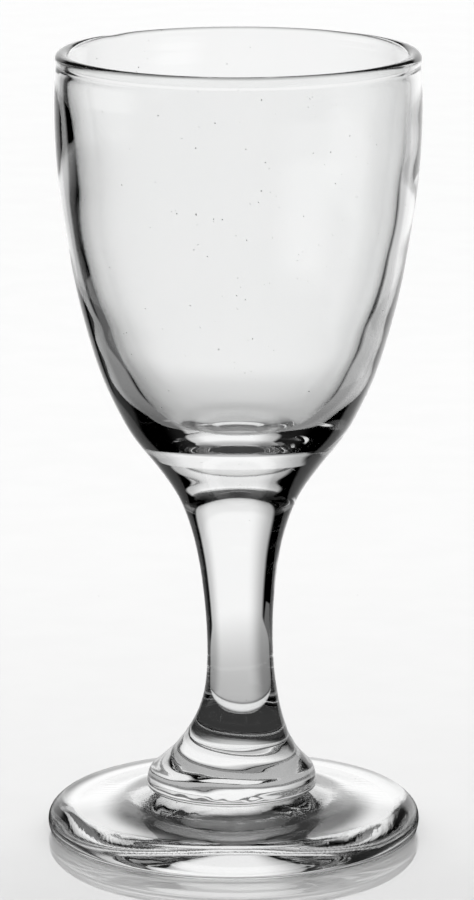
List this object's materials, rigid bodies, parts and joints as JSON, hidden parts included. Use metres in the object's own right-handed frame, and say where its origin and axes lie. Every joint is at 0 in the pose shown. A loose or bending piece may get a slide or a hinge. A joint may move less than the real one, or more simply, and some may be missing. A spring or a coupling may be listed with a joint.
{
  "type": "sherry glass",
  "caption": "Small stemmed sherry glass in thick clear glass, with a deep tapered bowl, a solid flared stem and a round foot.",
  "frame": {"origin": "centre of the foot's underside, on the surface that the glass stands on", "axes": "+Z is the axis of the glass, up towards the rim; the glass is round, so X and Y are alike"},
  "size_m": [0.0566, 0.0566, 0.12],
  "materials": {
    "bowl_glass": "clear, polished by the flame",
    "stem_glass": "clear, polished by the flame, with faint waves near the foot",
    "foot_glass": "clear, pressed, with fine wear on its top"
  },
  "bodies": {
    "root": {"bowl": "bowl_glass", "stem": "stem_glass", "foot": "foot_glass"}
  },
  "joints": []
}
